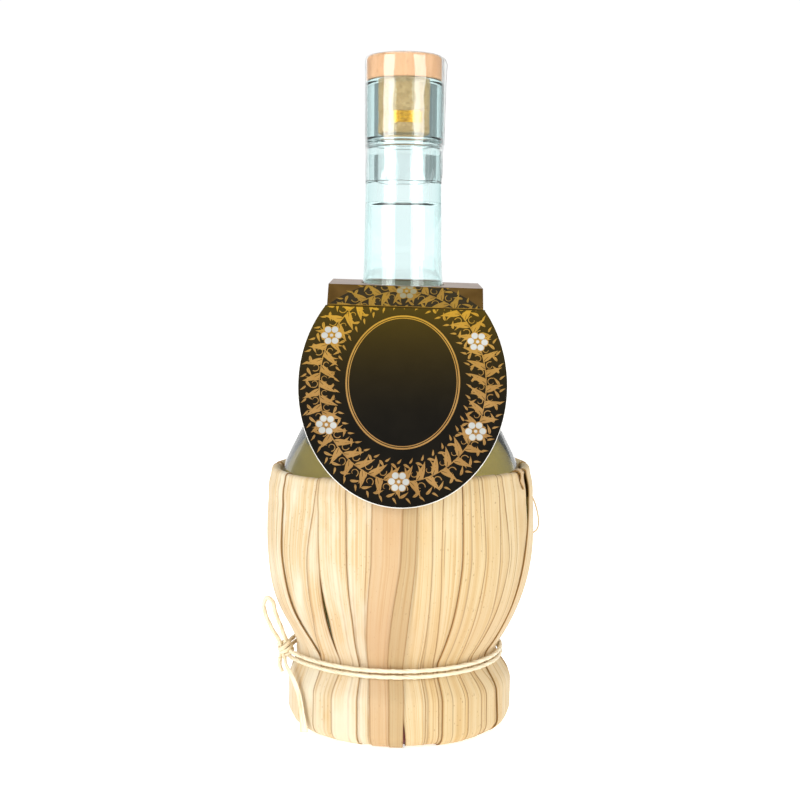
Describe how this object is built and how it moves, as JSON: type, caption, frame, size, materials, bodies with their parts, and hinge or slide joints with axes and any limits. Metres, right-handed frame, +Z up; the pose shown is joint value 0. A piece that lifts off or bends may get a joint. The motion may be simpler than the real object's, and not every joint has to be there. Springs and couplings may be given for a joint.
{
  "type": "fiasco wine flask",
  "caption": "Round-bottomed glass flask in a husk-leaf jacket tied with twine, with a bar-top stopper, clear shrink capsule and folded neck tag.",
  "frame": {"origin": "centre of the standing face under the foot cup", "axes": "+Z up along the neck; the front, with the tag's oval panel, faces -Y; +X is to the right seen from the front"},
  "size_m": [0.0977, 0.1029, 0.2388],
  "materials": {
    "clear_glass": "clear, faint green tint, smooth",
    "clear_spirit": "clear liquid, modelled as a solid filling",
    "red_plastic": "moulded, dark red",
    "husk_leaf": "dry husk leaf, lengthwise fibres",
    "raffia": "raffia twine, matt",
    "pale_wood": "pale beech, smooth",
    "cork": "brown pressed cork",
    "gold_foil": "gold foil",
    "clear_film": "clear shrink film, glossy, wrinkled",
    "printed_card": "laminated card, black with gold ornament"
  },
  "bodies": {
    "bottle": {"glass_bottle": "clear_glass", "spirit_fill": "clear_spirit", "foot_cup": "red_plastic", "rim_cord": "raffia", "husk_leaf_01": "husk_leaf", "husk_leaf_02": "husk_leaf", "husk_leaf_03": "husk_leaf", "husk_leaf_04": "husk_leaf", "husk_leaf_05": "husk_leaf", "husk_leaf_06": "husk_leaf", "husk_leaf_07": "husk_leaf", "husk_leaf_08": "husk_leaf", "husk_leaf_09": "husk_leaf", "husk_leaf_10": "husk_leaf", "husk_leaf_11": "husk_leaf", "husk_leaf_12": "husk_leaf", "husk_leaf_13": "husk_leaf", "husk_leaf_14": "husk_leaf", "husk_leaf_15": "husk_leaf", "husk_leaf_16": "husk_leaf", "husk_leaf_17": "husk_leaf", "husk_leaf_18": "husk_leaf", "husk_leaf_19": "husk_leaf", "husk_leaf_20": "husk_leaf", "waist_twine": "raffia", "twine_knot": "raffia", "bow_loop": "raffia", "long_tail": "raffia", "short_tail": "raffia"},
    "stopper": {"stopper_head": "pale_wood", "stopper_shank": "cork", "shank_foil": "gold_foil"},
    "capsule": {"shrink_capsule": "clear_film"},
    "tag": {"tag_plate": "printed_card"},
    "front_flap": {"tag_front_panel": "printed_card"},
    "back_flap": {"tag_back_panel": "printed_card"}
  },
  "joints": [
    {"name": "stopper_pull", "type": "slide", "parent": "bottle", "child": "stopper", "axis": [0, 0, 1], "range_m": [0, 0.06]},
    {"name": "capsule_off", "type": "slide", "parent": "stopper", "child": "capsule", "axis": [0, 0, 1], "range_m": [0, 0.05]},
    {"name": "tag_swivel", "type": "hinge", "parent": "bottle", "child": "tag", "pos_m": [0, 0, 0.15836], "axis": [0, 0, 1], "continuous": true},
    {"name": "front_flap_lift", "type": "hinge", "parent": "tag", "child": "front_flap", "pos_m": [-0.00019, -0.0227, 0.15048], "axis": [-0.9997, 0, 0.0244], "range_deg": [0, 75]},
    {"name": "back_flap_lift", "type": "hinge", "parent": "tag", "child": "back_flap", "pos_m": [-0.00015, 0.0227, 0.15224], "axis": [0.9997, 0, -0.0244], "range_deg": [0, 75]}
  ]
}
